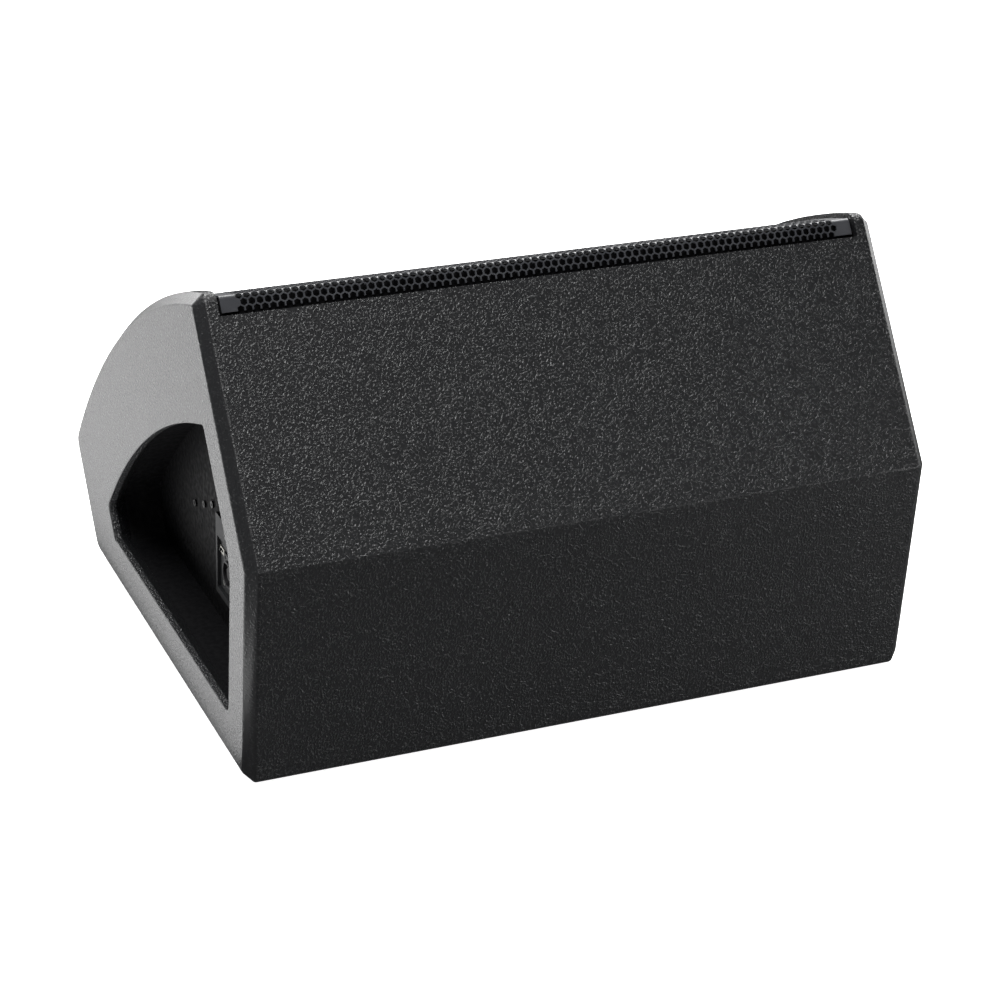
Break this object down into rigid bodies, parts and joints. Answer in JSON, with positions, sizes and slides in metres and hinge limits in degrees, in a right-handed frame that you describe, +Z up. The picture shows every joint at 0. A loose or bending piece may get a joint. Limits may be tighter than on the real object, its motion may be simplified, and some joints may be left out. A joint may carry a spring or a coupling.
{
  "type": "stage monitor wedge",
  "caption": "Low wedge-shaped floor monitor with end panels that stand proud of a curved perforated grille, grip pockets in both ends and a connector plate in one.",
  "frame": {"origin": "centre of the footprint of the whole cabinet, on the plane the rubber feet stand on", "axes": "+X along the cabinet's width towards the end with the connector plate, -Y towards the curved grille, +Y towards the flat rear faces, +Z up"},
  "size_m": [0.6, 0.5036, 0.3778],
  "materials": {
    "coated_board": "structured black coating over birch plywood",
    "birch_ply": "bare birch plywood",
    "black_screw": "black zinc screw",
    "grille_steel": "black powder coated perforated steel",
    "grille_foam": "open cell acoustic foam",
    "foot_rubber": "moulded rubber",
    "zinc_steel": "zinc plated steel",
    "black_plastic": "moulded black plastic",
    "basket_cast": "black painted cast aluminium",
    "gasket_foam": "cellular rubber",
    "plated_steel": "plated steel",
    "ferrite": "sintered ferrite",
    "coil_former_film": "polyimide film",
    "coil_copper": "enamelled copper wire",
    "cone_paper": "coated paper pulp",
    "surround_cloth": "impregnated cloth",
    "spider_cloth": "resin treated cloth",
    "hf_alloy": "machined aluminium",
    "titanium": "titanium foil",
    "hf_film": "polyimide film ring",
    "plate_metal": "black powder coated steel",
    "tag_brass": "brass",
    "board_laminate": "solder masked laminate",
    "capacitor_film": "film capacitor case",
    "resistor_ceramic": "ceramic case",
    "terminal_plastic": "moulded terminal block",
    "lead_black": "rubber insulation",
    "lead_red": "PVC insulation",
    "lead_yellow": "PVC insulation",
    "felt_grey": "damping felt"
  },
  "bodies": {
    "cabinet": {"end_panel_right": "coated_board", "end_panel_left": "coated_board", "base_panel": "coated_board", "rear_lower_panel": "coated_board", "rear_upper_panel": "coated_board", "front_lower_panel": "coated_board", "baffle": "birch_ply", "baffle_battens": "birch_ply", "pocket_frame_right": "coated_board", "pocket_frame_left": "coated_board", "pocket_back_right": "coated_board", "pocket_back_left": "coated_board", "pocket_screws": "black_screw", "grille": "grille_steel", "grille_foam": "grille_foam", "grille_screws": "black_screw", "rubber_feet": "foot_rubber", "foot_screws": "zinc_steel", "port_tube_right": "black_plastic", "port_tube_left": "black_plastic", "woofer_basket": "basket_cast", "woofer_gasket": "gasket_foam", "woofer_bolts": "black_screw", "woofer_tee_nuts": "zinc_steel", "woofer_top_plate": "plated_steel", "woofer_magnet": "ferrite", "woofer_pole_piece": "plated_steel", "woofer_terminal": "black_plastic", "hf_horn": "black_plastic", "hf_mounting_plate": "hf_alloy", "hf_phase_plug": "hf_alloy", "hf_magnet": "ferrite", "hf_suspension": "hf_film", "hf_cover": "black_plastic", "connector_plate": "plate_metal", "plate_screws": "black_screw", "socket_input": "black_plastic", "socket_link": "black_plastic", "socket_screws": "zinc_steel", "socket_tags": "tag_brass", "mode_switch_body": "plated_steel", "crossover_board": "board_laminate", "board_standoffs": "tag_brass", "board_screws": "zinc_steel", "crossover_inductors": "coil_copper", "crossover_capacitors": "capacitor_film", "crossover_resistors": "resistor_ceramic", "crossover_terminals": "terminal_plastic", "lead_input": "lead_black", "lead_woofer": "lead_red", "lead_hf": "lead_yellow", "damping_felt": "felt_grey"},
    "woofer_moving_parts": {"coil_former": "coil_former_film", "coil_winding": "coil_copper", "woofer_cone": "cone_paper", "woofer_surround": "surround_cloth", "woofer_spider": "spider_cloth"},
    "hf_moving_parts": {"hf_diaphragm": "titanium"},
    "mode_switch": {"mode_switch_lever": "black_plastic"}
  },
  "joints": [
    {"name": "woofer_stroke", "type": "slide", "parent": "cabinet", "child": "woofer_moving_parts", "axis": [0, -0.5878, 0.809], "range_m": [-0.008, 0.008], "stiffness_N_per_m": 5000, "deforming": ["woofer_surround", "woofer_spider"]},
    {"name": "hf_stroke", "type": "slide", "parent": "cabinet", "child": "hf_moving_parts", "axis": [0, -0.5878, 0.809], "range_m": [-0.0003, 0.0003], "stiffness_N_per_m": 8000},
    {"name": "mode_switch_slide", "type": "slide", "parent": "cabinet", "child": "mode_switch", "axis": [0, 1, 0], "range_m": [0, 0.004]}
  ]
}
